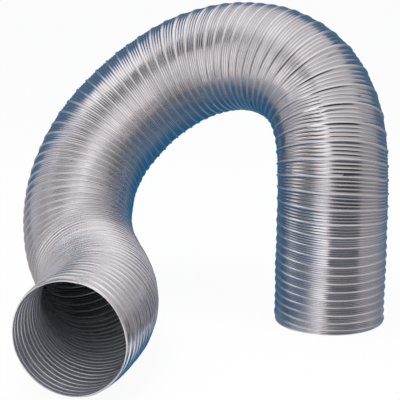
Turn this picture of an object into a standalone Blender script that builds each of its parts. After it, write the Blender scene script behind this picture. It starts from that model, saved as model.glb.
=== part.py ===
"""Flexible air duct: one length of corrugated foil tube, standing in a swan-neck arch.

The tube is wound from a single ribbon of foil whose turns are locked together by a folded seam. It is built
here as a chain along one smooth route. Stiff rings alternate with webs, the corrugated stretches between two
rings that give when the duct is bent or pulled. The seam runs on through rings and webs as one left-handed
screw: its ridge is wound about a straight axis at one turn a unit, cut square at both ends of a run, lined
with the bore, and then bent along the route, which also spaces the turns.

Lengths are in millimetres until they reach a mesh. +X is to the right, +Y away from the viewer, +Z up.
"""

import math

import bmesh
import bpy
import numpy as np
from mathutils import Matrix, Vector

MM = 0.001

# The tube's section
BORE_RADIUS = 51.0  # clear inside the corrugations: a 4 in duct
WALL = 1.0  # from the bore to the foot of a rib; the foil itself is about 0.1 mm
RIB_HEIGHT = 1.5
FIRST_SEAM = 0.66  # the turn that the seam is at, on the +X side of the cut foot
VALLEY_RADIUS = BORE_RADIUS + WALL
CREST_RADIUS = VALLEY_RADIUS + RIB_HEIGHT

# The two cut ends
FOOT_LENGTH = 14.0
FOOT_EDGE_HEIGHT = 2.0  # the plain cut edge that the duct stands on
MOUTH_LENGTH = 22.0
MOUTH_CLOSING = 2.4  # how much smaller in radius the mouth is than the tube behind it
RIM_LENGTH = 2.5  # the plain lip at the mouth

# The chain of rings and webs
RING_LENGTH = 10.5
SEAT_GAP = 0.3  # between two runs, on the inside of the bend where they come closest
SIDES = 20
BORE_STEP = 18.0  # the longest straight stretch of the bore in a bent run
FLAT_DEPTH = 0.5  # how deep the ribs are flattened where the duct lies on the surface

# The route of the centreline. It leaves the foot straight up, and each point is (x, y, z) from the foot's
# centre. The last three lie at the height of a tube that rests on its flattened ribs.
LYING_HEIGHT = CREST_RADIUS - FLAT_DEPTH
ROUTE_POINTS = (
    (0.0, 0.0, 0.0),
    (1.0, -3.0, 126.0),
    (-8.0, 31.0, 205.0),
    (-57.0, 66.0, 243.0),
    (-142.0, 105.0, 225.0),
    (-225.0, 88.0, 152.0),
    (-244.0, 26.5, 85.0),
    (-228.0, -28.0, LYING_HEIGHT + 3.0),
    (-215.0, -126.0, LYING_HEIGHT),
    (-234.0, -220.0, LYING_HEIGHT),
)

# How far apart the lock seams stand, (distance along the centreline, seam to seam): pulled open over the right
# shoulder and on top of the arch, pushed together in both legs and behind the crown.
SEAM_SPACING = (
    (0.0, 8.1),
    (65.0, 8.1),
    (90.0, 9.2),
    (106.0, 10.3),
    (120.0, 12.0),
    (147.0, 11.6),
    (165.0, 13.4),
    (195.0, 14.4),
    (217.0, 17.4),
    (235.0, 16.0),
    (250.0, 11.0),
    (265.0, 8.9),
    (285.0, 7.9),
    (300.0, 8.0),
    (320.0, 9.6),
    (345.0, 11.6),
    (385.0, 13.0),
    (420.0, 11.0),
    (460.0, 11.6),
    (505.0, 11.0),
    (535.0, 9.7),
    (560.0, 8.8),
    (585.0, 7.6),
    (620.0, 7.6),
    (700.0, 8.4),
    (860.0, 8.4),
)

# What each web does on its own joint, from the foot to the mouth: bend in the plane of its own curve, sway
# out of that plane, or stretch along the tube.
BEND, SWAY, STRETCH = "bend", "sway", "stretch"
RIGHT_LEG = (SWAY, BEND, STRETCH)
SHOULDER_AND_ARCH = (BEND, BEND, BEND, BEND, STRETCH, BEND)
LEFT_LEG = (SWAY, BEND, BEND, STRETCH, BEND)
LYING_END = (BEND, SWAY, STRETCH, BEND)
MOTIONS = RIGHT_LEG + SHOULDER_AND_ARCH + LEFT_LEG + LYING_END
WEB_COUNT = len(MOTIONS)

FOIL_COLOUR = (0.70, 0.68, 0.70, 1.0)
SEAM_COLOUR = (0.80, 0.78, 0.79, 1.0)
CUT_EDGE_COLOUR = (0.86, 0.85, 0.86, 1.0)
ROUTE_STEPS = 1600
WINDING_STEPS = 4000
MERGE = 1e-3  # points closer than this are one
CUT_SNAP = 0.02  # of a turn: a point this near to a square cut is drawn onto it
CUT_WELD = 0.05  # points this close along the flattened ribs become one


class Route:
    """The centreline: a smooth curve through ROUTE_POINTS with a frame that doesn't twist along it."""

    def __init__(self, points):
        knots = np.array(points, float)
        places, tangents = self.spline(knots)
        steps = np.linalg.norm(np.diff(places, axis=0), axis=1)
        self.distance = np.concatenate([[0.0], np.cumsum(steps)])
        self.length = float(self.distance[-1])
        self.places = places
        self.tangents = tangents
        self.normals = self.untwisted(places, tangents)

    @staticmethod
    def spline(knots):
        """A cubic spline through the knots, upright at its start and free at its end."""
        count = len(knots)
        system = np.zeros((count, count))
        right = np.zeros((count, 3))
        system[0, 0] = 1
        right[0] = (0, 0, np.linalg.norm(knots[1] - knots[0]))
        for i in range(1, count - 1):
            system[i, i - 1 : i + 2] = (1, 4, 1)
            right[i] = 3 * (knots[i + 1] - knots[i - 1])
        system[-1, -2:] = (1, 2)
        right[-1] = 3 * (knots[-1] - knots[-2])
        slopes = np.linalg.solve(system, right)

        where = np.linspace(0, count - 1, ROUTE_STEPS + 1)
        span = np.minimum(where.astype(int), count - 2)
        t = (where - span)[:, None]
        a, b = knots[span], knots[span + 1]
        u, v = slopes[span], slopes[span + 1]
        places = (2 * t**3 - 3 * t**2 + 1) * a + (t**3 - 2 * t**2 + t) * u
        places += (3 * t**2 - 2 * t**3) * b + (t**3 - t**2) * v
        slope = (6 * t**2 - 6 * t) * (a - b) + (3 * t**2 - 4 * t + 1) * u + (3 * t**2 - 2 * t) * v
        return places, slope / np.linalg.norm(slope, axis=1)[:, None]

    @staticmethod
    def untwisted(places, tangents):
        """Normals carried along the route by double reflection, starting along +X at the foot."""
        normals = [np.array([1.0, 0.0, 0.0])]
        for i in range(len(places) - 1):
            chord = places[i + 1] - places[i]
            scale = 2 / (chord @ chord)
            normal = normals[-1] - scale * (chord @ normals[-1]) * chord
            tangent = tangents[i] - scale * (chord @ tangents[i]) * chord
            across = tangents[i + 1] - tangent
            if across @ across > 1e-18:
                normal = normal - 2 / (across @ across) * (across @ normal) * across
            normals.append(normal / np.linalg.norm(normal))
        return np.array(normals)

    def at(self, distance, table):
        return np.array([np.interp(distance, self.distance, table[:, k]) for k in range(3)])

    def place(self, distance):
        return self.at(distance, self.places)

    def tangent(self, distance):
        tangent = self.at(distance, self.tangents)
        return tangent / np.linalg.norm(tangent)

    def frame(self, distance):
        """Place, tangent, normal and the third direction at a distance from the foot."""
        tangent = self.tangent(distance)
        normal = self.at(distance, self.normals)
        normal -= (normal @ tangent) * tangent
        normal /= np.linalg.norm(normal)
        return self.place(distance), tangent, normal, np.cross(tangent, normal)

    def curvature(self, distance):
        reach = 2.0
        low = max(distance - reach, 0.0)
        high = min(distance + reach, self.length)
        turn = np.linalg.norm(self.tangent(high) - self.tangent(low))
        return turn / (high - low)

    def turn_for_flat_side(self):
        """The turn that puts one flat of the many-sided section straight down at the mouth."""
        _, _, normal, third = self.frame(self.length)
        down = np.array([0.0, 0.0, -1.0])
        return math.atan2(down @ third, down @ normal) + math.pi / SIDES


class Winding:
    """How many turns of the ribbon have been wound at each distance along the route."""

    def __init__(self, length):
        beyond = max(spacing for _, spacing in SEAM_SPACING) * 3
        self.distance = np.linspace(-beyond, length + beyond, WINDING_STEPS + 1)
        rate = 1 / seam_spacing(self.distance)
        step = self.distance[1] - self.distance[0]
        turns = np.concatenate([[0.0], np.cumsum((rate[1:] + rate[:-1]) / 2 * step)])
        self.turns = turns - np.interp(0.0, self.distance, turns) + FIRST_SEAM

    def turns_at(self, distance):
        return float(np.interp(distance, self.distance, self.turns))

    def distance_at(self, turns):
        return float(np.interp(turns, self.turns, self.distance))


class Run:
    """A stretch of the tube between two distances, named as its node, moving with joint number `body`."""

    def __init__(self, name, start, end, body, colour, outline=None):
        self.name = name
        self.start = start
        self.end = end
        self.body = body
        self.colour = colour
        self.outline = outline  # of a plain turned end; every other run carries the wound seam


def seam_spacing(distance):
    table = np.array(SEAM_SPACING)
    return np.interp(distance, table[:, 0], table[:, 1])


def web_length(route):
    rings = (WEB_COUNT - 1) * RING_LENGTH
    return (route.length - FOOT_LENGTH - MOUTH_LENGTH - rings) / WEB_COUNT


def face_gap(route, distance):
    """The gap on the centreline that leaves SEAT_GAP between two faces on the inside of the bend."""
    return SEAT_GAP / (1 - VALLEY_RADIUS * route.curvature(distance))


def bore_points(length, radius_at):
    """The inside of a run, from its far face back to its near face."""
    count = max(1, math.ceil(length / BORE_STEP))
    places = [length * (1 - i / count) for i in range(count + 1)]
    return [(x, radius_at(x)) for x in places]


def foot_outline(length):
    outside = [
        (0.0, VALLEY_RADIUS),
        (FOOT_EDGE_HEIGHT, VALLEY_RADIUS),
        ((FOOT_EDGE_HEIGHT + length) / 2, CREST_RADIUS),
        (length, VALLEY_RADIUS),
    ]
    return outside + bore_points(length, lambda x: BORE_RADIUS)


def mouth_outline(length):
    """The last turn, drawn in to a lip a little smaller than the tube."""
    neck = length - RIM_LENGTH

    def narrowed(x):
        return MOUTH_CLOSING * min(x / neck, 1.0) ** 2

    crest = neck / 2
    outside = [
        (0.0, VALLEY_RADIUS),
        (crest / 2, CREST_RADIUS),
        (crest, VALLEY_RADIUS - narrowed(crest)),
        (crest * 1.5, CREST_RADIUS - narrowed(crest * 1.5)),
        (neck, VALLEY_RADIUS - narrowed(neck)),
        (length, VALLEY_RADIUS - narrowed(length)),
    ]
    return outside + bore_points(length, lambda x: BORE_RADIUS - narrowed(x))


def lay_out(route):
    """The runs from the foot to the mouth. Ring i is the end of web i, and web i starts on ring i - 1."""
    web = web_length(route)
    stations = [0.0, FOOT_LENGTH]
    for _ in range(WEB_COUNT - 1):
        stations += [stations[-1] + web, stations[-1] + web + RING_LENGTH]
    stations += [route.length - MOUTH_LENGTH, route.length]

    runs = []
    for i in range(len(stations) - 1):
        start, end = stations[i], stations[i + 1]
        if i > 0:
            start += face_gap(route, start) / 2
        if i < len(stations) - 2:
            end -= face_gap(route, end) / 2
        number = (i + 1) // 2
        if i == 0:
            run = Run("foot_end", start, end, 0, CUT_EDGE_COLOUR, foot_outline(end - start))
        elif i == len(stations) - 2:
            run = Run("mouth_end", start, end, WEB_COUNT, CUT_EDGE_COLOUR, mouth_outline(end - start))
        elif i % 2:
            run = Run(f"foil_web_{number:02d}", start, end, number - 1, FOIL_COLOUR)
        else:
            run = Run(f"seam_ring_{number:02d}", start, end, number, SEAM_COLOUR)
        runs.append(run)
    return runs


def joint_name(number):
    return f"{MOTIONS[number - 1]}_{number:02d}"


def joint_frame(route, runs, number):
    """Where web `number` gives: the place and the axis, at the middle of the web."""
    web = runs[2 * number - 1]
    middle = (web.start + web.end) / 2
    place, tangent, _, _ = route.frame(middle)
    if MOTIONS[number - 1] == STRETCH:
        return place, tangent
    before = route.tangent(web.start - RING_LENGTH / 2)
    after = route.tangent(web.end + RING_LENGTH / 2)
    axis = np.cross(before, after)
    axis -= (axis @ tangent) * tangent
    axis /= np.linalg.norm(axis)
    if MOTIONS[number - 1] == SWAY:
        axis = np.cross(tangent, axis)
    return place, axis


def rest_bend(runs, route, number):
    """The angle in degrees that web `number` is bent by between the middles of its two rings."""
    web = runs[2 * number - 1]
    before = route.tangent(web.start - RING_LENGTH / 2)
    after = route.tangent(web.end + RING_LENGTH / 2)
    return math.degrees(math.acos(min(1.0, float(before @ after))))


def foil_material(name, colour):
    material = bpy.data.materials.new(name)
    material.use_nodes = True
    shader = material.node_tree.nodes["Principled BSDF"]
    shader.inputs["Base Color"].default_value = colour
    shader.inputs["Metallic"].default_value = 1.0
    shader.inputs["Roughness"].default_value = 0.28
    return material


def spun(mesh, points, climb=0.0):
    """Spins a line of (x, radius) points once about the X axis, with its flats at those radii."""
    corner = 1 / math.cos(math.pi / SIDES)
    line = [mesh.verts.new((x, radius * corner, 0.0)) for x, radius in points]
    edges = [mesh.edges.new(pair) for pair in zip(line, line[1:])]
    bmesh.ops.spin(
        mesh,
        geom=line + edges,
        cent=(0, 0, 0),
        axis=(1, 0, 0),
        dvec=(climb / SIDES, 0, 0),
        angle=2 * math.pi,
        steps=SIDES,
        use_merge=climb == 0,
        use_duplicate=False,
    )


def turned(outline):
    """A closed mesh: the outline and the line back to its start, spun about the X axis."""
    mesh = bmesh.new()
    spun(mesh, outline + outline[:1])
    bmesh.ops.remove_doubles(mesh, verts=mesh.verts[:], dist=MERGE)
    bmesh.ops.recalc_face_normals(mesh, faces=mesh.faces)
    return mesh


def wound(run, winding, turn):
    """A closed mesh of the seam's ridge over one run, with its X in turns: one unit from a seam to the next."""
    ahead = turn / (2 * math.pi)
    first = winding.turns_at(run.start) + ahead
    last = winding.turns_at(run.end) + ahead
    ridge = []
    for count in range(math.floor(first), math.ceil(last) + 2):
        ridge += [(count, CREST_RADIUS), (count + 0.5, VALLEY_RADIUS)]
    mesh = bmesh.new()
    spun(mesh, ridge, climb=-1.0)
    bmesh.ops.remove_doubles(mesh, verts=mesh.verts[:], dist=MERGE)
    for place, side in ((first, -1), (last, 1)):
        whole = mesh.verts[:] + mesh.edges[:] + mesh.faces[:]
        normal = (side, 0, 0)
        bmesh.ops.bisect_plane(
            mesh, geom=whole, dist=CUT_SNAP, plane_co=(place, 0, 0), plane_no=normal, clear_outer=True
        )
        for vertex in mesh.verts:
            if abs(vertex.co.x - place) <= CUT_SNAP:
                vertex.co.x = place

    lining = bore_points(run.end - run.start, lambda x: BORE_RADIUS)
    spun(mesh, [(winding.turns_at(run.start + x) + ahead, radius) for x, radius in lining])
    for place in (first, last):
        rims = [
            edge
            for edge in mesh.edges
            if edge.is_boundary and all(abs(vertex.co.x - place) < MERGE for vertex in edge.verts)
        ]
        bmesh.ops.bridge_loops(mesh, edges=rims)
    bmesh.ops.triangulate(mesh, faces=mesh.faces[:])
    bmesh.ops.recalc_face_normals(mesh, faces=mesh.faces)
    for vertex in mesh.verts:
        vertex.co.x = winding.distance_at(vertex.co.x - ahead) - run.start
    return mesh


def bent(mesh, route, start, turn):
    """Moves a straight run's points onto the route: X becomes the distance along it."""
    cos, sin = math.cos(turn), math.sin(turn)
    for vertex in mesh.verts:
        x, y, z = vertex.co
        place, _, normal, third = route.frame(start + x)
        across = y * cos - z * sin
        up = y * sin + z * cos
        vertex.co = Vector((place + across * normal + up * third) * MM)


def add_to(collection, name, data):
    item = bpy.data.objects.new(name, data)
    collection.objects.link(item)
    return item


def joint_empties(collection, route, runs):
    """One empty for each body, at its joint with local +Z along the axis, each parented to the one before."""
    root = add_to(collection, "duct_root", None)
    empties, frames = [root], [Matrix.Identity(4)]
    for number in range(1, WEB_COUNT + 1):
        place, axis = joint_frame(route, runs, number)
        axis = Vector(axis)
        turn = axis.to_track_quat("Z", "Y").to_matrix().to_4x4()
        frame = Matrix.Translation(Vector(place) * MM) @ turn
        empty = add_to(collection, joint_name(number), None)
        empty.empty_display_size = 0.02
        empty.parent = empties[-1]
        empty.matrix_local = frames[-1].inverted() @ frame
        empties.append(empty)
        frames.append(frame)
    return empties, frames


def floor_cutter(collection, route):
    """A block under the surface that the duct lies on, wide enough for the whole route."""
    width = 2 * route.length * MM
    depth = 2 * CREST_RADIUS * MM
    mesh = bmesh.new()
    bmesh.ops.create_cube(mesh, size=1.0)
    bmesh.ops.scale(mesh, vec=(width, width, depth), verts=mesh.verts)
    bmesh.ops.translate(mesh, vec=(0, 0, -depth / 2), verts=mesh.verts)
    data = bpy.data.meshes.new("floor_cutter")
    mesh.to_mesh(data)
    mesh.free()
    cutter = add_to(collection, "floor_cutter", data)
    cutter.hide_render = True
    cutter.display_type = "WIRE"
    return cutter


def build_run(run, route, winding, turn, collection, empty, frame, cutter):
    """One run as an object on its joint's empty, flattened where it lies on the surface."""
    mesh = turned(run.outline) if run.outline else wound(run, winding, turn)
    bent(mesh, route, run.start, turn)
    lowest = min(vertex.co.z for vertex in mesh.verts)
    bmesh.ops.transform(mesh, matrix=frame.inverted(), verts=mesh.verts)
    data = bpy.data.meshes.new(run.name)
    mesh.to_mesh(data)
    mesh.free()
    data.materials.append(foil_material(run.name + "_foil", run.colour))
    data.shade_smooth()
    data.set_sharp_from_angle(angle=math.radians(20))
    piece = add_to(collection, run.name, data)
    piece.parent = empty
    if lowest < 0 and run.start > FOOT_LENGTH:
        cut = piece.modifiers.new("flattened ribs", "BOOLEAN")
        cut.operation = "DIFFERENCE"
        cut.object = cutter
        tidy = piece.modifiers.new("join the cut's near points", "WELD")
        tidy.merge_threshold = CUT_WELD * MM
    return piece


def centre_on_origin(root, pieces):
    """Moves the whole duct so that the middle of its footprint is at the origin."""
    bpy.context.view_layer.update()
    corners = [piece.matrix_world @ vertex.co for piece in pieces for vertex in piece.data.vertices]
    low = [min(corner[k] for corner in corners) for k in range(2)]
    high = [max(corner[k] for corner in corners) for k in range(2)]
    root.location = (-(low[0] + high[0]) / 2, -(low[1] + high[1]) / 2, 0)
    bpy.context.view_layer.update()


def main():
    for item in list(bpy.data.objects):
        bpy.data.objects.remove(item, do_unlink=True)
    parts = bpy.data.collections.new("flexible_air_duct")
    cutters = bpy.data.collections.new("cutters")
    for collection in (parts, cutters):
        bpy.context.scene.collection.children.link(collection)

    route = Route(ROUTE_POINTS)
    winding = Winding(route.length)
    runs = lay_out(route)
    turn = route.turn_for_flat_side()
    cutter = floor_cutter(cutters, route)
    empties, frames = joint_empties(parts, route, runs)
    pieces = [
        build_run(run, route, winding, turn, parts, empties[run.body], frames[run.body], cutter)
        for run in runs
    ]
    centre_on_origin(empties[0], pieces)


main()
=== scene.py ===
"""Flexible air duct, dressed: a corrugated foil tube wound as one ribbon and folded into lock seams.

The tube is drawn turn by turn along its route: the ribbon's fine ribs, the raised lock seam that joins
each turn to the next, the cut foot that it stands on and the open mouth. Each stretch between two stiff
rings runs on under them, and each ring is a short cover over the two stretches that meet on it.

Lengths are in millimetres until they reach a mesh. +X is to the right, +Y away from the viewer, +Z up.
"""

import logging
import math
from dataclasses import dataclass, field
from enum import Enum
from typing import Callable, Optional, Union

import bmesh
import bpy
import numpy as np
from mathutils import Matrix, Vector


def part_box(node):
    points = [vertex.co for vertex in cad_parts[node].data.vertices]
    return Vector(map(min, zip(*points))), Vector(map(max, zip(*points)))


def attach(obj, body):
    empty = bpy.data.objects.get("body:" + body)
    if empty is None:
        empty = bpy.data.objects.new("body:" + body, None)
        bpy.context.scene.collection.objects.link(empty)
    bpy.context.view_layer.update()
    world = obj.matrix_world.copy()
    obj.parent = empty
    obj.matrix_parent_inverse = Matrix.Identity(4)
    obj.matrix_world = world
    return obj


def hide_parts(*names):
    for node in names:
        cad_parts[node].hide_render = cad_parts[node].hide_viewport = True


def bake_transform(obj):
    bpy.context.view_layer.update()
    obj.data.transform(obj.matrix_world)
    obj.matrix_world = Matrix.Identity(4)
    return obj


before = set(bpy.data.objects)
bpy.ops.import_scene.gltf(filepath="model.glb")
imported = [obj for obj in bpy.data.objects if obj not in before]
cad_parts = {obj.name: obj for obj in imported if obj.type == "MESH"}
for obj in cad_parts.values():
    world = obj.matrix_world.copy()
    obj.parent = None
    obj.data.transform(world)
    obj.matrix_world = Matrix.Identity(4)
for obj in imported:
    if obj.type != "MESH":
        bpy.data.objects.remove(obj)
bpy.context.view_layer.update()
LOG = logging.getLogger("flexible_air_duct")

MM = 0.001
TURN = 2 * math.pi

# The route of the centreline, from the foot's centre: the same points that the solid follows.
LYING_HEIGHT = 53.0
ROUTE_POINTS = (
    (0.0, 0.0, 0.0),
    (1.0, -3.0, 126.0),
    (-8.0, 31.0, 205.0),
    (-57.0, 66.0, 243.0),
    (-142.0, 105.0, 225.0),
    (-225.0, 88.0, 152.0),
    (-244.0, 26.5, 85.0),
    (-228.0, -28.0, LYING_HEIGHT + 3.0),
    (-215.0, -126.0, LYING_HEIGHT),
    (-234.0, -220.0, LYING_HEIGHT),
)
# Seam to seam, as (distance along the centreline, millimetres), the same as in the solid.
SEAM_SPACING = (
    (0.0, 8.1),
    (65.0, 8.1),
    (90.0, 9.2),
    (106.0, 10.3),
    (120.0, 12.0),
    (147.0, 11.6),
    (165.0, 13.4),
    (195.0, 14.4),
    (217.0, 17.4),
    (235.0, 16.0),
    (250.0, 11.0),
    (265.0, 8.9),
    (285.0, 7.9),
    (300.0, 8.0),
    (320.0, 9.6),
    (345.0, 11.6),
    (385.0, 13.0),
    (420.0, 11.0),
    (460.0, 11.6),
    (505.0, 11.0),
    (535.0, 9.7),
    (560.0, 8.8),
    (585.0, 7.6),
    (620.0, 7.6),
    (700.0, 8.4),
    (860.0, 8.4),
)
FOOT_LENGTH = 14.0
MOUTH_LENGTH = 22.0
RING_LENGTH = 10.5
WEB_COUNT = 18
COVER = 0.12  # how far the ends and the rings stand out over the webs that tuck under them
WELD = 2e-6  # metres within which the two long edges of a stretch are joined

# The cloths round the duct, which only its metal mirrors. BRIGHT glows more than white.
BLUE = (0.025, 0.13, 0.26)
BLACK = (0.012, 0.012, 0.018)
SLATE = (0.10, 0.19, 0.31)
GREY = (0.40, 0.38, 0.39)
SILVER = (0.60, 0.57, 0.58)
PALE = (0.84, 0.80, 0.81)
BRIGHT = (1.30, 1.25, 1.27)
WHITE = (1.0, 1.0, 1.0, 1.0)

Array = np.ndarray
Value = Union["Wire", float]
Colour = Union["Wire", tuple]


class Slot(Enum):
    """The material slots of the part that a piece can take its finish from."""

    FOIL = "foil_web"
    SEAM = "lock_seam"
    CUT = "cut_end"


@dataclass
class Route:
    """The centreline: a smooth curve through the route's points with a frame that doesn't twist.

    Attributes:
        points: The knots, in millimetres from the foot's centre.
        steps: How many short chords the curve is kept as.
        distance: How far along the centreline each kept place is.
        places: The kept places.
        tangents: The unit directions there.
        normals: The normals there, which don't twist round the curve.
    """

    points: tuple = ROUTE_POINTS
    steps: int = 1600
    distance: Array = field(init=False)
    places: Array = field(init=False)
    tangents: Array = field(init=False)
    normals: Array = field(init=False)

    def __post_init__(self) -> None:
        """Works out the curve's places, directions and frames."""
        self.places, self.tangents = self._spline(np.array(self.points, float))
        chords = np.linalg.norm(np.diff(self.places, axis=0), axis=1)
        self.distance = np.concatenate([[0.0], np.cumsum(chords)])
        self.normals = self._untwisted()

    @property
    def length(self) -> float:
        """The length of the centreline."""
        return float(self.distance[-1])

    def _spline(self, knots: Array) -> tuple[Array, Array]:
        """Runs a cubic spline through the knots, upright at its start and free at its end.

        Args:
            knots: The points to pass through, one row each.

        Returns:
            The places along the curve and the unit directions there.
        """
        count = len(knots)
        system = np.zeros((count, count))
        right = np.zeros((count, 3))
        system[0, 0] = 1
        right[0] = (0, 0, np.linalg.norm(knots[1] - knots[0]))
        for i in range(1, count - 1):
            system[i, i - 1 : i + 2] = (1, 4, 1)
            right[i] = 3 * (knots[i + 1] - knots[i - 1])
        system[-1, -2:] = (1, 2)
        right[-1] = 3 * (knots[-1] - knots[-2])
        slopes = np.linalg.solve(system, right)

        where = np.linspace(0, count - 1, self.steps + 1)
        span = np.minimum(where.astype(int), count - 2)
        t = (where - span)[:, None]
        a, b, u, v = knots[span], knots[span + 1], slopes[span], slopes[span + 1]
        places = (2 * t**3 - 3 * t**2 + 1) * a + (t**3 - 2 * t**2 + t) * u
        places += (3 * t**2 - 2 * t**3) * b + (t**3 - t**2) * v
        slope = (6 * t**2 - 6 * t) * (a - b) + (3 * t**2 - 4 * t + 1) * u + (3 * t**2 - 2 * t) * v
        return places, slope / np.linalg.norm(slope, axis=1)[:, None]

    def _untwisted(self) -> Array:
        """Carries a normal along the route by double reflection, starting along +X at the foot."""
        normals = [np.array([1.0, 0.0, 0.0])]
        for i in range(len(self.places) - 1):
            chord = self.places[i + 1] - self.places[i]
            scale = 2 / (chord @ chord)
            normal = normals[-1] - scale * (chord @ normals[-1]) * chord
            tangent = self.tangents[i] - scale * (chord @ self.tangents[i]) * chord
            across = self.tangents[i + 1] - tangent
            if across @ across > 1e-18:
                normal = normal - 2 / (across @ across) * (across @ normal) * across
            normals.append(normal / np.linalg.norm(normal))
        return np.array(normals)

    def _at(self, distance: Array, table: Array) -> Array:
        """Reads a table of vectors at distances along the route."""
        return np.stack([np.interp(distance, self.distance, table[:, k]) for k in range(3)], axis=-1)

    def place(self, distance: float) -> Array:
        """The centreline's place at one distance."""
        return self._at(np.array([distance]), self.places)[0]

    def tangent(self, distance: float) -> Array:
        """The centreline's unit direction at one distance."""
        tangent = self._at(np.array([distance]), self.tangents)[0]
        return tangent / np.linalg.norm(tangent)

    def _outward(self, distance: Array, angle: Array) -> Array:
        """The unit directions straight out of the tube at distances along it and angles round it."""
        tangent = self._at(distance, self.tangents)
        tangent /= np.linalg.norm(tangent, axis=1)[:, None]
        normal = self._at(distance, self.normals)
        normal -= (normal * tangent).sum(axis=1)[:, None] * tangent
        normal /= np.linalg.norm(normal, axis=1)[:, None]
        return np.cos(angle)[:, None] * normal + np.sin(angle)[:, None] * np.cross(tangent, normal)

    def stretched(self, distance: Array, angle: Array, radius: float) -> Array:
        """How much longer the wall is than the centreline beside it: over 1 on the outside of a bend."""
        bending = np.gradient(self.tangents, self.distance, axis=0)
        inward = (self._at(distance, bending) * self._outward(distance, angle)).sum(axis=1)
        return 1 - radius * inward

    def on_tube(self, distance: Array, angle: Array, radius: Array) -> Array:
        """Places points on a tube round the route.

        Args:
            distance: How far along the centreline each point is.
            angle: Its angle round the tube, from the normal.
            radius: Its distance from the centreline.

        Returns:
            The points, one row each.
        """
        return self._at(distance, self.places) + radius[:, None] * self._outward(distance, angle)


@dataclass
class Winding:
    """How the ribbon is wound: where its lock seams lie along the route and round the tube.

    Attributes:
        spacing: Seam to seam, as (distance along the centreline, millimetres).
        first_turn: The turn that the cut foot starts on; its fraction turns every seam round the tube.
        span: From where to where along the route the turns are added up, with room past both ends.
        samples: How many places they are added up at.
        places: Those places.
        turns: How many turns have been wound by each.
    """

    spacing: tuple = SEAM_SPACING
    first_turn: float = 4.66
    span: tuple = (-40.0, 900.0)
    samples: int = 4701
    places: Array = field(init=False)
    turns: Array = field(init=False)

    def __post_init__(self) -> None:
        """Adds up the turns along the route."""
        self.places = np.linspace(*self.span, self.samples)
        rate = 1 / self.spacing_at(self.places)
        step = self.places[1] - self.places[0]
        turns = np.concatenate([[0.0], np.cumsum((rate[1:] + rate[:-1]) / 2 * step)])
        self.turns = turns - np.interp(0.0, self.places, turns) + self.first_turn

    def spacing_at(self, distance: Array) -> Array:
        """The distance from one seam to the next, along the centreline."""
        table = np.array(self.spacing)
        return np.interp(distance, table[:, 0], table[:, 1])

    def turns_at(self, distance: Array) -> Array:
        """How many turns have been wound by a distance along the route."""
        return np.interp(distance, self.places, self.turns)

    def distance_at(self, turns: Array) -> Array:
        """Where along the route a number of turns has been wound."""
        return np.interp(turns, self.turns, self.places)


@dataclass
class Ribbon:
    """The corrugated ribbon's section across one turn, from one lock seam to the next.

    Attributes:
        valley: The radius at the foot of a rib.
        crest: The radius at the top of a lock seam.
        seam_share: The share of a turn on each side of a seam that the seam takes.
        seam_steep: The most that the seam's steep side reaches, towards the mouth.
        seam_slack: The most that its slack side reaches, towards the foot.
        ribs: The fine ribs between two seams.
        rib_height: How high a rib stands over its valley.
        rib_share: The most height that a rib takes, as a share of the place it has.
        rib_half: The most that half a rib's width takes; the rest of its place is a flat valley.
        width: How wide the ribbon is, seam to seam.
        foil: The thickness that the wall is drawn with.
    """

    valley: float = 52.2
    crest: float = 53.35
    seam_share: float = 0.16
    seam_steep: float = 1.3
    seam_slack: float = 2.3
    ribs: int = 3
    rib_height: float = 0.46
    rib_share: float = 0.4
    rib_half: float = 1.12
    width: float = 17.0
    foil: float = 0.3

    SEAM_POINTS = ((0.0, 1.0), (0.35, 0.93), (0.62, 0.62), (0.84, 0.22), (1.0, 0.0))
    RIB_POINTS = (-1.0, -0.6, -0.25, 0.25, 0.6, 1.0)

    @property
    def steps(self) -> int:
        """The number of rows that one turn is drawn with."""
        return 2 * len(self.SEAM_POINTS) - 1 + self.ribs * len(self.RIB_POINTS)

    def rows(self, spacing: Array) -> tuple[Array, Array]:
        """Lays out the rows of one turn.

        Args:
            spacing: Seam to seam at each point.

        Returns:
            The distance from the seam and the height over the valley, one column for each row.
        """
        zone = self.seam_share * spacing
        steep, slack = np.minimum(zone, self.seam_steep), np.minimum(zone, self.seam_slack)
        pitch = (spacing - 2 * zone) / self.ribs
        half = np.minimum(pitch / 2, self.rib_half)
        tall = self.crest - self.valley
        flat = np.zeros_like(spacing)
        places = [(at * steep, flat + up * tall) for at, up in self.SEAM_POINTS]
        for rib in range(self.ribs):
            middle = zone + (rib + 0.5) * pitch
            for at in self.RIB_POINTS:
                tallest = np.minimum(self.rib_height, pitch * self.rib_share)
                up = tallest * (0.5 + 0.5 * math.cos(math.pi * at))
                places.append((middle + at * half, up))
        places += [(spacing - at * slack, flat + up * tall) for at, up in reversed(self.SEAM_POINTS)]
        return np.stack([at for at, _ in places], axis=-1), np.stack([up for _, up in places], axis=-1)

    def across(self, row: Array, spacing: Array) -> tuple[Array, Array]:
        """Places the rows of one turn across the ribbon.

        Args:
            row: The row's number within its turn, from 0 to `steps`.
            spacing: Seam to seam at each point.

        Returns:
            The fraction of the turn at each point, and its height over the valley.
        """
        places, rises = self.rows(spacing)
        index = np.clip(np.rint(row), 0, self.steps).astype(int)[..., None]
        distance = np.take_along_axis(places, index, axis=-1)[..., 0]
        return distance / spacing, np.take_along_axis(rises, index, axis=-1)[..., 0]

    def rise_at(self, phase: Array, spacing: Array) -> Array:
        """The height over the valley at any phase, for the points that a cut has moved."""
        places, rises = self.rows(spacing)
        distance = (phase - np.floor(phase)) * spacing
        after = np.clip((places <= distance[:, None]).sum(axis=1), 1, self.steps)[:, None]
        low, high, foot, top = (
            np.take_along_axis(table, after - back, axis=1)[:, 0]
            for table in (places, rises)
            for back in (1, 0)
        )
        return foot + (top - foot) * (distance - low) / np.maximum(high - low, 1e-9)


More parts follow.
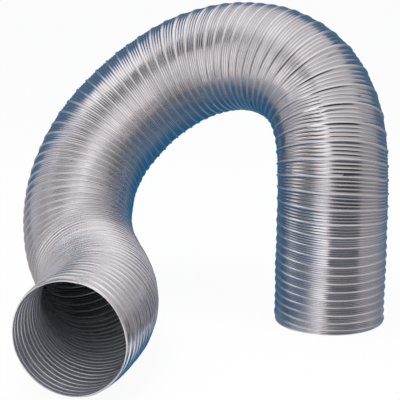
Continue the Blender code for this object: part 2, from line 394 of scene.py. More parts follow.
class Unevenness:
    """The small unevenness of foil that has been pulled and bent by hand.

    Each wave is (height in millimetres, waves round the tube, lean along its turns, phase).
    """

    ALONG = ((0.22, 1, 1.9, 0.0), (0.16, 2, -2.7, 1.0), (0.10, 3, 4.3, 2.0))
    OUTWARD = ((0.14, 2, 0.7, 0.0), (0.10, 3, -1.3, 0.6), (0.08, 5, 2.9, 1.7))
    INSET = 0.25  # keeps the wall from standing proud of the round tube

    @staticmethod
    def _sum(waves: tuple, angle: Array, turns: Array) -> Array:
        """Adds up waves at angles round the tube and turns along it."""
        return sum(size * np.sin(count * angle + lean * turns + phase) for size, count, lean, phase in waves)

    @classmethod
    def along(cls, angle: Array, turns: Array) -> Array:
        """How far the ribs wander along the tube."""
        return cls._sum(cls.ALONG, angle, turns)

    @classmethod
    def outward(cls, angle: Array, turns: Array) -> Array:
        """How far the wall wanders in and out."""
        return cls._sum(cls.OUTWARD, angle, turns) - cls.INSET


@dataclass
class Duct:
    """The whole tube: its route, its winding and its wall, from which every stretch is cut.

    Attributes:
        route: The centreline.
        winding: Where the seams lie on it.
        ribbon: The wall's section across one turn.
        sides: How many flats the tube is drawn with.
        mouth_closing: How much smaller in radius the mouth's lip is than the tube behind it.
        rim: The plain lip at the mouth.
        ragged: How deep the cut edges are uneven.
        cut_band: How wide the bright band along a cut edge is.
        edge_samples: How many places round a cut edge are searched for its lowest.
        calm_ends: Over how much of each end of the tube the ribs' wander dies away.
        least_stretch: The least that the wall is narrowed to on the inside of a bend.
        lying_wall: The most that the inner side keeps over the table where the tube lies on it.
        rise_limits: The least and the most that a point's height is marked with, in seam heights.
        foot: Where the middle of the cut foot stands, in metres.
    """

    route: Route = field(default_factory=Route)
    winding: Winding = field(default_factory=Winding)
    ribbon: Ribbon = field(default_factory=Ribbon)
    sides: int = 96
    mouth_closing: float = 1.6
    rim: float = 2.5
    ragged: float = 0.7
    cut_band: float = 1.4
    edge_samples: int = 721
    calm_ends: float = 6.0
    least_stretch: float = 0.2
    lying_wall: float = 0.25
    rise_limits: tuple = (-0.3, 1.2)
    foot: Array = field(init=False)

    def __post_init__(self) -> None:
        """Finds where the frame's foot stands, so that the route starts at its centre."""
        low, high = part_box("foot_end")
        self.foot = np.array([(low.x + high.x) / 2, (low.y + high.y) / 2, 0.0])

    def narrowing(self, distance: Array) -> Array:
        """How much the mouth draws the wall in."""
        neck = MOUTH_LENGTH - self.rim
        near = np.clip((distance - (self.route.length - MOUTH_LENGTH)) / neck, 0, 1)
        return self.mouth_closing * near**2

    def spacing_on_wall(self, distance: Array, angle: Array) -> Array:
        """Seam to seam on the wall itself, wide outside a bend and narrow inside it."""
        stretched = self.route.stretched(distance, angle, self.ribbon.valley)
        return self.winding.spacing_at(distance) * np.maximum(stretched, self.least_stretch)

    def cut_edge(self, angle: Array) -> Array:
        """How far the hand-cut edge is from square, round the tube."""
        wave = 0.5 + 0.25 * np.sin(angle + 0.8) + 0.17 * np.sin(7 * angle + 2.0) + 0.08 * np.sin(19 * angle)
        return self.ragged * wave

    def wall(self, distance: Array, angle: Array, rise: Array, depth: Array) -> Array:
        """Places points on the wall.

        Args:
            distance: How far along the route each point is.
            angle: Its angle round the tube.
            rise: Its height over the valley of the ribs.
            depth: How far it is below the outside of the foil.

        Returns:
            The points in metres, one row each.
        """
        turns = self.winding.turns_at(distance)
        wander = Unevenness.outward(angle, turns)
        radius = self.ribbon.valley + rise + wander - self.narrowing(distance) - depth
        points = self.route.on_tube(distance, angle, radius)
        lying = distance > FOOT_LENGTH
        floor = np.clip(depth, 0.0, self.lying_wall)
        points[:, 2] = np.where(lying, np.maximum(points[:, 2], floor), points[:, 2])
        return points * MM + self.foot

    def stretch(self, name: str, start: float, end: float, cover: float) -> bpy.types.Object:
        """Cuts one stretch of the tube, a closed thin wall whose rows follow the ribbon.

        Args:
            name: The piece's name.
            start: Where it starts along the route.
            end: Where it ends.
            cover: How far it stands out over the foil, inside and outside.

        Returns:
            The piece, with its place in its mesh.
        """
        rows_in_turn = self.ribbon.steps
        first = math.floor(float(self.winding.turns_at(start)))
        last = math.ceil(float(self.winding.turns_at(end))) + 1
        rows = (last - first) * rows_in_turn
        data = self._slab(name, rows)

        count = len(data.vertices)
        flat = np.empty(count * 3)
        data.vertices.foreach_get("co", flat)
        flat = flat.reshape(-1, 3)
        row = np.rint((flat[:, 0] + 1) / 2 * rows)
        angle = (flat[:, 1] + 1) / 2 * TURN
        inside = flat[:, 2] < -0.5

        turn = np.floor(row / rows_in_turn)
        within = row - turn * rows_in_turn
        rough = self.winding.distance_at(first + row / rows_in_turn - angle / TURN)
        spacing = self.spacing_on_wall(rough, angle)
        part, rise = self.ribbon.across(within, spacing)
        distance = self.winding.distance_at(first + turn + part - angle / TURN)
        low = np.full(count, start)
        high = np.full(count, end)
        if start <= 0:
            low += self.cut_edge(angle) - self.cut_edge(np.linspace(0, TURN, self.edge_samples)).min()
        if end >= self.route.length:
            high -= self.cut_edge(angle)
        placed = np.clip(distance, low, high)
        phase = self.winding.turns_at(placed) + angle / TURN
        moved = placed != distance
        rise[moved] = self.ribbon.rise_at(phase[moved], self.spacing_on_wall(placed[moved], angle[moved]))
        wander = Unevenness.along(angle, self.winding.turns_at(placed))
        calm = np.clip(np.minimum(placed, self.route.length - placed) / self.calm_ends, 0, 1)
        depth = np.where(inside, self.ribbon.foil + cover, -cover)
        points = self.wall(placed + wander * calm, angle, rise, depth)
        data.vertices.foreach_set("co", points.ravel())

        height = self.ribbon.crest - self.ribbon.valley
        to_cut = np.minimum(placed - low, high - placed)
        has_cut = (start <= 0) | (end >= self.route.length)
        on_cut = np.where(has_cut, 1 - np.clip(to_cut / self.cut_band, 0, 1), 0)
        risen = np.clip(rise / height, *self.rise_limits)
        tones = {"rib_height": risen, "inner_side": inside, "cut_edge": on_cut}
        for tone_name, values in tones.items():
            tone = data.attributes.new(tone_name, "FLOAT", "POINT")
            tone.data.foreach_set("value", values.astype(np.float32))
        self._map_ribbon(data, first, row, angle, phase, spacing)
        return self._closed(name, data)

    def _slab(self, name: str, rows: int) -> bpy.types.Mesh:
        """A flat slab of rows by sides, open where its two long edges will meet round the tube."""
        mesh = bmesh.new()
        bmesh.ops.create_grid(mesh, x_segments=rows, y_segments=self.sides, size=1.0)
        made = bmesh.ops.extrude_face_region(mesh, geom=mesh.faces[:], use_keep_orig=True)
        under = [item for item in made["geom"] if isinstance(item, bmesh.types.BMVert)]
        bmesh.ops.translate(mesh, verts=under, vec=(0, 0, -1))
        bmesh.ops.recalc_face_normals(mesh, faces=mesh.faces)
        walls = [face for face in mesh.faces if abs(face.normal.y) > 0.5]
        bmesh.ops.delete(mesh, geom=walls, context="FACES_ONLY")
        bmesh.ops.reverse_faces(mesh, faces=mesh.faces[:])
        data = bpy.data.meshes.new(name)
        mesh.to_mesh(data)
        mesh.free()
        return data

    def _map_ribbon(
        self, data: bpy.types.Mesh, first: int, row: Array, angle: Array, phase: Array, spacing: Array
    ) -> None:
        """Gives each face its place on the ribbon: along it and across it, and from its nearest seam."""
        corners = np.empty(len(data.loops), int)
        data.loops.foreach_get("vertex_index", corners)
        starts = np.empty(len(data.polygons), int)
        data.polygons.foreach_get("loop_start", starts)
        sizes = np.diff(np.append(starts, len(corners)))
        middle = np.add.reduceat(row[corners], starts) / sizes
        turn = np.repeat(np.floor(middle / self.ribbon.steps), sizes) + first
        part = np.clip(phase[corners] - turn, 0, 1)
        along = (angle[corners] / TURN - turn) * TURN * self.ribbon.crest * MM
        across = part * self.ribbon.width * MM
        from_seam = np.minimum(part, 1 - part) * spacing[corners]
        for layer_name, u, v in (("ribbon", along, across), ("seam", from_seam, spacing[corners])):
            layer = data.uv_layers.new(name=layer_name)
            layer.uv.foreach_set("vector", np.column_stack([u, v]).ravel().astype(np.float32))

    @staticmethod
    def _closed(name: str, data: bpy.types.Mesh) -> bpy.types.Object:
        """Joins the slab's long edges round the tube and puts the piece in the scene."""
        mesh = bmesh.new()
        mesh.from_mesh(data)
        bmesh.ops.remove_doubles(mesh, verts=mesh.verts[:], dist=WELD)
        mesh.to_mesh(data)
        mesh.free()
        data.shade_smooth()
        data.update()
        piece = bpy.data.objects.new(name, data)
        bpy.context.scene.collection.objects.link(piece)
        return piece


class Wire:
    """One socket of a shader's node tree, on which sums are written as plain expressions."""

    def __init__(self, tree: bpy.types.NodeTree, socket: bpy.types.NodeSocket) -> None:
        """Keeps the tree and the socket that the value comes from."""
        self.tree = tree
        self.socket = socket

    def operate(self, operation: str, first: Value, second: Optional[Value] = None) -> "Wire":
        """Adds one Math node for a value."""
        inputs = {0: first} if second is None else {0: first, 1: second}
        return node(self.tree, "ShaderNodeMath", {"operation": operation}, inputs)

    def __add__(self, other: Value) -> "Wire":
        """Adds a value."""
        return self.operate("ADD", self, other)

    def __radd__(self, other: Value) -> "Wire":
        """Adds to a number."""
        return self.operate("ADD", other, self)

    def __sub__(self, other: Value) -> "Wire":
        """Takes a value away."""
        return self.operate("SUBTRACT", self, other)

    def __rsub__(self, other: Value) -> "Wire":
        """Is taken away from a number."""
        return self.operate("SUBTRACT", other, self)

    def __mul__(self, other: Value) -> "Wire":
        """Multiplies by a value."""
        return self.operate("MULTIPLY", self, other)

    def __rmul__(self, other: Value) -> "Wire":
        """Multiplies a number."""
        return self.operate("MULTIPLY", other, self)

    def __truediv__(self, other: Value) -> "Wire":
        """Divides by a value."""
        return self.operate("DIVIDE", self, other)

    def ramp(self, low: float, high: float) -> "Wire":
        """Rises smoothly from 0 at low to 1 at high."""
        sockets = {"Value": self, "From Min": low, "From Max": high}
        return node(self.tree, "ShaderNodeMapRange", {"interpolation_type": "SMOOTHSTEP"}, sockets)


def node(
    tree: bpy.types.NodeTree,
    kind: str,
    settings: Optional[dict] = None,
    inputs: Optional[dict] = None,
    output: Union[int, str] = 0,
) -> Wire:
    """Adds a node to a tree.

    Args:
        tree: The tree that it goes in.
        kind: The node's type.
        settings: Its own settings, which are set first.
        inputs: What its sockets take, by name or number: a wire or a plain value.
        output: The socket that the returned wire reads.

    Returns:
        The wire from the node's output.
    """
    made = tree.nodes.new(kind)
    for key, value in (settings or {}).items():
        setattr(made, key, value)
    for key, value in (inputs or {}).items():
        if isinstance(value, Wire):
            tree.links.new(value.socket, made.inputs[key])
        else:
            made.inputs[key].default_value = value
    return Wire(tree, made.outputs[output])


def mixed(tree: bpy.types.NodeTree, share: Value, first: Colour, second: Colour) -> Wire:
    """Mixes two colours by a share, by the sockets that a Mix node has for colours."""
    settings = {"data_type": "RGBA", "blend_type": "MIX"}
    return node(tree, "ShaderNodeMix", settings, {0: share, 6: first, 7: second}, output=2)


@dataclass(frozen=True)
class FoilFinish:
    """Bright rolled aluminium foil, scuffed on its high places, with its lock seams lighter as rubbed foil
    and as painted highlight, and with painted shade in its valleys and folds.

    Attributes:
        name: The material's name.
        bright: The colour of the clean foil.
        tarnished: The colour of its duller patches.
        painted_shade: The painted shade deep in a rib's valley and in the grooves under the seams on the
            inner side.
        worn_and_highlight: The colour of a lock seam, rubbed bright and also lightened as a painted
            highlight, and of a fresh cut.
        inside: The colour that the duller inner side takes on.
        polish: The roughness of the clean foil.
        dulled: The roughness of its scuffed places.
        streak_scale: How fine the rolling streaks are along the ribbon and across it.
        patch_scale: How fine the scuffed patches are, likewise.
        cloud_scale: How fine the tarnish is over the whole duct.
        grain_scale: How fine the foil's grain is.
        dent_strength: How strongly the dents show.
        dent_depth: How deep they are, in metres.
    """

    name: str
    bright: tuple = (0.73, 0.715, 0.725, 1.0)
    tarnished: tuple = (0.58, 0.565, 0.585, 1.0)
    painted_shade: tuple = (0.17, 0.165, 0.19, 1.0)
    worn_and_highlight: tuple = (0.93, 0.92, 0.93, 1.0)
    inside: tuple = (0.56, 0.60, 0.65, 1.0)
    polish: float = 0.12
    dulled: float = 0.26
    streak_scale: tuple = (30.0, 600.0, 1.0)
    patch_scale: tuple = (14.0, 60.0, 1.0)
    cloud_scale: float = 16.0
    grain_scale: float = 420.0
    dent_strength: float = 0.35
    dent_depth: float = 0.0004

    def material(self) -> bpy.types.Material:
        """Makes the material with its node tree."""
        made = bpy.data.materials.new(self.name)
        made.use_nodes = True
        tree = made.node_tree
        shader = tree.nodes["Principled BSDF"]
        along = node(tree, "ShaderNodeUVMap", {"uv_map": "ribbon"})
        seam = node(tree, "ShaderNodeUVMap", {"uv_map": "seam"})
        place = node(tree, "ShaderNodeTexCoord", output="Object")
        from_seam = node(tree, "ShaderNodeSeparateXYZ", inputs={0: seam}, output="X")

        def marked(attribute: str) -> Wire:
            """What the mesh marks its points with."""
            return node(tree, "ShaderNodeAttribute", {"attribute_name": attribute}, output="Fac")

        def noise(where: Wire, scale: float, detail: float, rough: float) -> Wire:
            """Soft noise."""
            sockets = {"Vector": where, "Scale": scale, "Detail": detail, "Roughness": rough}
            return node(tree, "ShaderNodeTexNoise", None, sockets, output="Fac")

        def drawn(scale: tuple) -> Wire:
            """Noise drawn out along the ribbon."""
            stretched = node(tree, "ShaderNodeMapping", inputs={"Vector": along, "Scale": scale})
            return noise(stretched, 1.0, 3.0, 0.55)

        rise, inner, on_cut = marked("rib_height"), marked("inner_side"), marked("cut_edge").ramp(0.1, 0.8)
        streaks, patches = drawn(self.streak_scale), drawn(self.patch_scale)
        clouds, grain = noise(place, self.cloud_scale, 3.0, 0.5), noise(place, self.grain_scale, 4.0, 0.65)

        on_seam = 1 - from_seam.ramp(0.9, 1.5)
        valley_shade = 1 - rise.ramp(0.0, 0.16)
        dull = (patches * 0.6 + clouds * 0.4).ramp(0.40, 0.64)
        colour = mixed(tree, dull * 0.55 + streaks.ramp(0.42, 0.75) * 0.25, self.bright, self.tarnished)
        # Painted shade: the ribs' valleys on the outer side are darkened.
        colour = mixed(tree, valley_shade * (1 - inner) * 0.35, colour, self.painted_shade)
        # The lock seams are lightened, partly as rubbed foil and partly as painted highlight.
        colour = mixed(tree, on_seam * (streaks.ramp(0.3, 0.6) * 0.3 + 0.4), colour, self.worn_and_highlight)
        colour = mixed(tree, inner * 0.7, colour, self.inside)
        # Painted shade: the grooves under the seams on the inner side are darkened.
        colour = mixed(tree, inner * rise.ramp(0.42, 0.85) * 0.9, colour, self.painted_shade)
        colour = mixed(tree, on_cut * 0.9, colour, self.worn_and_highlight)
        roughness = self.polish + dull * (self.dulled - self.polish) + grain * 0.04
        roughness = roughness + on_seam * 0.16 + on_cut * 0.2 + inner * 0.08
        height = streaks * 0.03 + grain * 0.01 + patches * 0.9
        sockets = {"Strength": self.dent_strength, "Distance": self.dent_depth, "Height": height}
        bump = node(tree, "ShaderNodeBump", None, sockets, "Normal")
        metal = 1 - inner * 0.2
        made_of = {"Base Color": colour, "Roughness": roughness, "Metallic": metal, "Normal": bump}
        for key, value in made_of.items():
            tree.links.new(value.socket, shader.inputs[key])
        return made


@dataclass
class Section:
    """One stretch of the duct that takes the place of a node of the frame.

    Attributes:
        node: The frame's node that it stands for.
        start: Where it starts along the route, as it shows.
        end: Where it ends.
        slot: The slot that its finish comes from.
        cover: How far it stands out over the foil, inside and outside.
        tuck: How far it runs on, out of sight, under the covers at both of its ends.
    """

    node: str
    start: float
    end: float
    slot: Slot
    cover: float = 0.0
    tuck: float = 0.0

    def build(self, duct: Duct, finish: bpy.types.Material) -> bpy.types.Object:
        """Cuts the stretch, dresses it and has it stand for its node.

        Args:
            duct: The tube that it is cut from.
            finish: The foil's material.

        Returns:
            The finished piece.
        """
        name = f"{self.node}_foil"
        piece = duct.stretch(name, self.start - self.tuck, self.end + self.tuck, self.cover)
        piece.data.materials.append(finish)
        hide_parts(self.node)
        LOG.info("%s: %d faces, %.1f to %.1f mm", name, len(piece.data.polygons), self.start, self.end)
        return piece


@dataclass
class Rigid(Section):
    """A stretch that keeps its shape and rides on one body: the foot, a ring or the mouth.

    Attributes:
        body: The body that it rides on.
    """

    body: str = ""

    def build(self, duct: Duct, finish: bpy.types.Material) -> bpy.types.Object:
        """Builds the stretch and has it ride on its body."""
        piece = super().build(duct, finish)
        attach(piece, self.body)
        return piece


@dataclass
class Web(Section):
    """A stretch between two rings, which runs on under the rings at both of its ends.

    Attributes:
        before: The body at its start; not used.
        after: The body at its end; not used.
        least_reach: The least way to each side of its middle that a reach is worked out as; nothing uses
            that reach.
        outside: The radius outside the lock seams.
        lean_share: How much of what its leaning end faces overhang is kept out of that reach.
        end_room: How far that reach stays inside the ends.
    """

    before: str = ""
    after: str = ""
    least_reach: float = 8.0
    outside: float = 53.5
    lean_share: float = 0.6
    end_room: float = 0.5

    def build(self, duct: Duct, finish: bpy.types.Material) -> bpy.types.Object:
        """Builds the stretch and bakes its place into its mesh; the reach round its middle is worked out but
        not used.
        """
        piece = super().build(duct, finish)
        middle = (self.start + self.end) / 2
        place = duct.route.place(middle) * MM + duct.foot
        tangent = duct.route.tangent(middle)
        turned = duct.route.tangent(self.start) @ duct.route.tangent(self.end)
        lean = math.acos(min(1.0, float(turned))) / 2
        half = (self.end - self.start) / 2
        overhang = self.outside * math.sin(lean) * self.lean_share
        reach = max(self.least_reach, min(half - overhang, half - self.end_room)) * MM
        place - reach * tangent
        place + reach * tangent
        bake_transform(piece)
        return piece


@dataclass
class DuctAssembly:
    """Every stretch of the duct, from the cut foot to the open mouth.

    Attributes:
        duct: The tube that the stretches are cut from.
    """

    duct: Duct = field(default_factory=Duct)

    def sections(self) -> list[Section]:
        """Lays the stretches out along the route.

        Returns:
            The sections in order from the foot to the mouth.
        """
        length = self.duct.route.length
        rings = WEB_COUNT - 1
        web = (length - FOOT_LENGTH - MOUTH_LENGTH - rings * RING_LENGTH) / WEB_COUNT
        bodies = ["foot", *[f"ring_{i:02d}" for i in range(1, WEB_COUNT)], "mouth"]
        tuck = RING_LENGTH / 2
        made: list[Section] = [Rigid("foot_end", 0.0, FOOT_LENGTH, Slot.CUT, cover=COVER, body="foot")]
        at = FOOT_LENGTH
        for i in range(WEB_COUNT):
            ends = {"before": bodies[i], "after": bodies[i + 1]}
            made.append(Web(f"foil_web_{i + 1:02d}", at, at + web, Slot.FOIL, tuck=tuck, **ends))
            at += web
            if i < rings:
                ring = f"seam_ring_{i + 1:02d}"
                made.append(Rigid(ring, at, at + RING_LENGTH, Slot.SEAM, cover=COVER, body=bodies[i + 1]))
                at += RING_LENGTH
        made.append(Rigid("mouth_end", length - MOUTH_LENGTH, length, Slot.CUT, cover=COVER, body="mouth"))
        return made

    def build(self) -> None:
        """Builds every stretch."""
        finishes = {
            Slot.FOIL: FoilFinish("foil_corrugated").material(),
            Slot.SEAM: FoilFinish("foil_seamed").material(),
            Slot.CUT: FoilFinish("foil_cut_end").material(),
        }
        for section in self.sections():
            section.build(self.duct, finishes[section.slot])


@dataclass(frozen=True)
class Lamp:
    """One large soft lamp, a square that is aimed at the duct.

    Attributes:
        name: Its name.
        place: Where it hangs, in metres.
        size: How long its side is.
        power: Its power in watts.
        colour: The colour of its light.
    """

    name: str
    place: tuple
    size: float
    power: float
    colour: tuple

    def hang(self, target: tuple) -> None:
        """Hangs the lamp so that only its light is seen.

        Args:
            target: The point that it is aimed at.
        """
        lamp = bpy.data.lights.new(self.name, "AREA")
        lamp.shape = "SQUARE"
        lamp.size = self.size
        lamp.energy = self.power
        lamp.color = self.colour
        item = bpy.data.objects.new(self.name, lamp)
        item.location = self.place
        aim = Vector(target) - Vector(self.place)
        item.rotation_euler = aim.to_track_quat("-Z", "Y").to_euler()
        item.visible_camera = False
        item.visible_glossy = False
        bpy.context.scene.collection.objects.link(item)


@dataclass
class Studio:
    """The floor, the light, the camera and the cloths that the metal mirrors.

    A pair of numbers is where something fades, from the first to the second.

    Attributes:
        target: The point at the middle of the picture, in metres.
        camera_distance: How far the camera stands from it.
        camera_height: The camera's angle above the horizon, in degrees.
        lens: The lens, in millimetres on a 36 mm sensor.
        floor_size: Half the width of the floor.
        floor_drop: How far the floor lies under the duct.
        floor_colour: What the floor's white is lit as.
        floor_glow: The share of pure white in what is seen of it; the rest takes the shadow.
        world_colour: The colour of the world's even light.
        lamps: The lamps.
        screen_distance: The radius of the dome of cloths and of the mat.
        mat_lift: How high the mat lies over the duct's foot.
        shrink: The scale from a place on the dome to the lengths below, which lay out its cloths.
        centre: What is added to y and to z after that.
        tilt: How much the cloths' edges rise along x and sink along y.
        panel_top: Up the dome, the panels into the gap.
        step: Along x, how the panels' top comes down.
        step_height: How far it comes down.
        cover_foot: Up the dome, the gap into the cover overhead.
        cover_turn: Along x, the cover's left colour into its right one.
        cover_left: The cover's colour on the left.
        cover_right: Its colour on the right.
        bar: Where the middle of the dark bar lies along y.
        bar_half: Off its middle, the bar's sides.
        bar_end: Along x, its end.
        bar_foot: Up the dome, its foot.
        bar_colour: Its colour.
        leg: Where the standing leg is on the mat.
        leg_round: Off the leg, the colour near it.
        leg_share: How much of the mat's colour is near_leg there.
        near_leg: The colour near the standing leg.
        blue_places: The mat's blue places, each as its middle and its fade.
        panels: The dome's bands below, as (degrees to the right of the viewer, colour).
        gap: Its bands above them, likewise.
        mat_stops: The mat's bands round the leg, likewise.
    """

    target: tuple = (-0.0031, 0.0364, 0.1183)
    camera_distance: float = 1.516
    camera_height: float = 13.68
    lens: float = 143.2
    floor_size: float = 8.0
    floor_drop: float = 0.0003
    floor_colour: tuple = (0.82, 0.82, 0.83, 1.0)
    floor_glow: float = 0.94
    world_colour: tuple = (0.55, 0.56, 0.60, 1.0)
    lamps: tuple = (
        Lamp("key_lamp", (-0.47, -1.05, 0.35), 0.34, 3.0, (1.0, 0.97, 0.98)),
        Lamp("top_lamp", (-0.1, 0.0, 1.1), 0.8, 9.0, (1.0, 0.98, 0.99)),
    )
    screen_distance: float = 0.72
    mat_lift: float = 0.0004
    shrink: float = 0.694
    centre: tuple = (0.012, 0.045)
    tilt: tuple = (0.05, 0.12)
    panel_top: tuple = (0.30, 0.33)
    step: tuple = (-0.02, 0.06)
    step_height: float = 0.07
    cover_foot: tuple = (0.395, 0.445)
    cover_turn: tuple = (-0.2, 0.3)
    cover_left: tuple = (1.25, 1.21, 1.23, 1.0)
    cover_right: tuple = (0.80, 0.77, 0.78, 1.0)
    bar: float = -0.145
    bar_half: tuple = (0.10, 0.14)
    bar_end: tuple = (-0.08, 0.0)
    bar_foot: tuple = (0.325, 0.36)
    bar_colour: tuple = (0.04, 0.04, 0.05, 1.0)
    leg: tuple = (0.12, 0.036)
    leg_round: tuple = (0.27, 0.33)
    leg_share: float = 0.55
    near_leg: tuple = (0.25, 0.285, 0.35, 1.0)
    blue_places: tuple = (
        ((-0.035, -0.03), (0.09, 0.125)),
        ((-0.02, 0.25), (0.16, 0.26)),
        ((-0.06, -0.10), (0.10, 0.13)),
    )
    panels: tuple = (
        (-180, SLATE), (-114, SLATE),
        (-105, PALE), (-94, PALE),
        (-78, GREY), (-60, GREY),
        (-46, SILVER),
        (-34, PALE),
        (-24, BRIGHT), (1.5, BRIGHT),
        (4, BLACK), (58, BLACK),
        (62, GREY), (95, GREY),
        (118, SLATE), (180, SLATE),
    )
    gap: tuple = (
        (-180, SLATE), (-122, SLATE),
        (-110, BRIGHT), (-92, BRIGHT),
        (-80, GREY), (-56, GREY),
        (-36, PALE),
        (-24, BRIGHT), (-4, BRIGHT),
        (6, GREY), (48, GREY),
        (72, SILVER), (104, SILVER),
        (128, SLATE), (180, SLATE),
    )
    mat_stops: tuple = (
        (-180, BLUE), (-150, BLUE),
        (-115, GREY), (-70, GREY),
        (-55, SILVER),
        (-46, BRIGHT), (-13, BRIGHT),
        (-11, BLACK), (50, BLACK),
        (53, GREY), (120, GREY),
        (150, BLUE), (180, BLUE),
    )

    def build(self) -> None:
        """Sets up the floor, the world, the lamps and the camera."""
        self._floor()
        self._screens()
        self._world()
        for lamp in self.lamps:
            lamp.hang(self.target)
        self._camera()
        view = bpy.context.scene.view_settings
        view.view_transform = "Standard"

    @staticmethod
    def _seen(tree: bpy.types.NodeTree) -> Wire:
        """Is 1 for what the camera sees, straight or in a reflection or through glass."""
        camera = node(tree, "ShaderNodeLightPath", output="Is Camera Ray")
        glossy = Wire(tree, camera.socket.node.outputs["Is Glossy Ray"])
        through = Wire(tree, camera.socket.node.outputs["Is Transmission Ray"])
        return camera.operate("MAXIMUM", camera, camera.operate("MAXIMUM", glossy, through))

    def _floor(self) -> None:
        """A plain white floor that keeps the duct's soft shadow."""
        mesh = bmesh.new()
        bmesh.ops.create_grid(mesh, x_segments=1, y_segments=1, size=self.floor_size)
        bmesh.ops.translate(mesh, verts=mesh.verts[:], vec=(0, 0, -self.floor_drop))
        data = bpy.data.meshes.new("studio_floor")
        mesh.to_mesh(data)
        mesh.free()
        material = bpy.data.materials.new("floor_white")
        material.use_nodes = True
        tree = material.node_tree
        shader = tree.nodes["Principled BSDF"]
        shader.inputs["Base Color"].default_value = self.floor_colour
        shader.inputs["Roughness"].default_value = 0.9
        shader.inputs["Specular IOR Level"].default_value = 0.0
        glow = node(tree, "ShaderNodeEmission", None, {"Color": WHITE, "Strength": 1.0})
        share = self._seen(tree) * self.floor_glow
        sockets = {0: share, 1: Wire(tree, shader.outputs[0]), 2: glow}
        both = node(tree, "ShaderNodeMixShader", None, sockets)
        tree.links.new(both.socket, tree.nodes["Material Output"].inputs["Surface"])
        data.materials.append(material)
        floor = bpy.data.objects.new("studio_floor", data)
        bpy.context.scene.collection.objects.link(floor)

    @staticmethod
    def _bands(tree: bpy.types.NodeTree, bearing: Wire, stops: tuple) -> Wire:
        """Colours by bearing round the duct, from stops of (degrees, colour)."""
        ramp = tree.nodes.new("ShaderNodeValToRGB")
        while len(ramp.color_ramp.elements) < len(stops):
            ramp.color_ramp.elements.new(0.5)
        for element, (degrees, colour) in zip(ramp.color_ramp.elements, stops):
            element.position = degrees / 360 + 0.5
            element.color = (*colour, 1.0)
        tree.links.new(bearing.socket, ramp.inputs[0])
        return Wire(tree, ramp.outputs[0])

    def _hang(self, name: str, mesh: bmesh.types.BMesh, paint: Callable) -> None:
        """Hangs one screen that only the metal mirrors.

        Args:
            name: The screen's name.
            mesh: Its shape, which is freed.
            paint: Makes its colour from the tree and the x, y and z of a point.
        """
        data = bpy.data.meshes.new(name)
        mesh.to_mesh(data)
        mesh.free()
        material = bpy.data.materials.new(name + "_cloth")
        material.use_nodes = True
        tree = material.node_tree
        place = node(tree, "ShaderNodeTexCoord", output="Object")
        x = node(tree, "ShaderNodeSeparateXYZ", inputs={0: place}, output="X")
        others = x.socket.node.outputs
        colour = paint(tree, x, Wire(tree, others["Y"]), Wire(tree, others["Z"]))
        glow = node(tree, "ShaderNodeEmission", None, {"Color": colour, "Strength": 1.0})
        tree.links.new(glow.socket, tree.nodes["Material Output"].inputs["Surface"])
        data.materials.append(material)
        screen = bpy.data.objects.new(name, data)
        bpy.context.scene.collection.objects.link(screen)
        screen.visible_camera = False
        screen.visible_shadow = False
        screen.visible_diffuse = False

    def _screens(self) -> None:
        """A dome of cloths and a cloth mat; the camera looks past them at the white floor."""

        def round_cloth(tree: bpy.types.NodeTree, x: Wire, y: Wire, z: Wire) -> Wire:
            """Bands of panels below, the gap over them, and a pale cover with a dark bar overhead."""
            x, y, z = x * self.shrink, y * self.shrink + self.centre[0], z * self.shrink + self.centre[1]
            bearing = x.operate("ARCTAN2", x, 0.0 - y) / TURN + 0.5
            lift = z - y * self.tilt[1] + x * self.tilt[0]
            low, middle = self._bands(tree, bearing, self.panels), self._bands(tree, bearing, self.gap)
            stepped = lift + x.ramp(*self.step) * self.step_height
            colour = mixed(tree, stepped.ramp(*self.panel_top), low, middle)
            cover = mixed(tree, x.ramp(*self.cover_turn), self.cover_left, self.cover_right)
            colour = mixed(tree, lift.ramp(*self.cover_foot), colour, cover)
            across = y.operate("ABSOLUTE", y - self.bar)
            along = 1.0 - x.ramp(*self.bar_end)
            in_bar = (1.0 - across.ramp(*self.bar_half)) * along * z.ramp(*self.bar_foot)
            return mixed(tree, in_bar, colour, self.bar_colour)

        def mat_cloth(tree: bpy.types.NodeTree, x: Wire, y: Wire, z: Wire) -> Wire:
            """The panels' shine on the mat, plainer near the standing leg, with its blue places."""

            def far(centre: tuple) -> Wire:
                """The distance from a place on the mat."""
                east, north = x - centre[0], y - centre[1]
                return x.operate("SQRT", east * east + north * north)

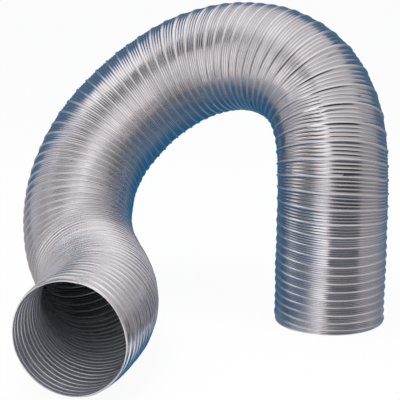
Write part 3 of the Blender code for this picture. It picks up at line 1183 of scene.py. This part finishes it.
            bearing = x.operate("ARCTAN2", x - self.leg[0], self.leg[1] - y) / TURN + 0.5
            bands = self._bands(tree, bearing, self.mat_stops)
            near = mixed(tree, self.leg_share, bands, self.near_leg)
            colour = mixed(tree, far(self.leg).ramp(*self.leg_round), near, bands)
            clear: Value = 1.0
            for centre, fade in self.blue_places:
                clear = x.operate("MINIMUM", clear, far(centre).ramp(*fade))
            return mixed(tree, clear, (*BLUE, 1.0), colour)

        dome = bmesh.new()
        bmesh.ops.create_uvsphere(dome, u_segments=48, v_segments=24, radius=self.screen_distance)
        below = [vertex for vertex in dome.verts if vertex.co.z < -0.01]
        bmesh.ops.delete(dome, geom=below, context="VERTS")
        bmesh.ops.reverse_faces(dome, faces=dome.faces[:])
        self._hang("studio_screens", dome, round_cloth)
        mat = bmesh.new()
        bmesh.ops.create_circle(mat, cap_ends=True, segments=64, radius=self.screen_distance)
        bmesh.ops.translate(mat, verts=mat.verts[:], vec=(0, 0, self.mat_lift))
        self._hang("studio_mat", mat, mat_cloth)

    def _world(self) -> None:
        """A pale even world, white where the camera sees it."""
        world = bpy.data.worlds.new("studio_world")
        world.use_nodes = True
        bpy.context.scene.world = world
        tree = world.node_tree
        ground = tree.nodes["Background"]
        seen = self._seen(tree)
        colour = mixed(tree, seen, self.world_colour, WHITE)
        tree.links.new(colour.socket, ground.inputs["Color"])
        ground.inputs["Strength"].default_value = 1.0

    def _camera(self) -> None:
        """The camera at the photograph's angle."""
        data = bpy.data.cameras.new("camera")
        data.lens = self.lens
        data.sensor_width = 36.0
        camera = bpy.data.objects.new("camera", data)
        height = math.radians(self.camera_height)
        back = Vector((0, -math.cos(height), math.sin(height)))
        camera.location = Vector(self.target) + back * self.camera_distance
        camera.rotation_euler = (math.pi / 2 - height, 0, 0)
        bpy.context.scene.collection.objects.link(camera)
        bpy.context.scene.camera = camera


def main() -> None:
    """Builds the duct and its studio."""
    logging.basicConfig(level=logging.INFO, format="%(message)s")
    DuctAssembly().build()
    Studio().build()


if __name__ == "__main__":
    main()
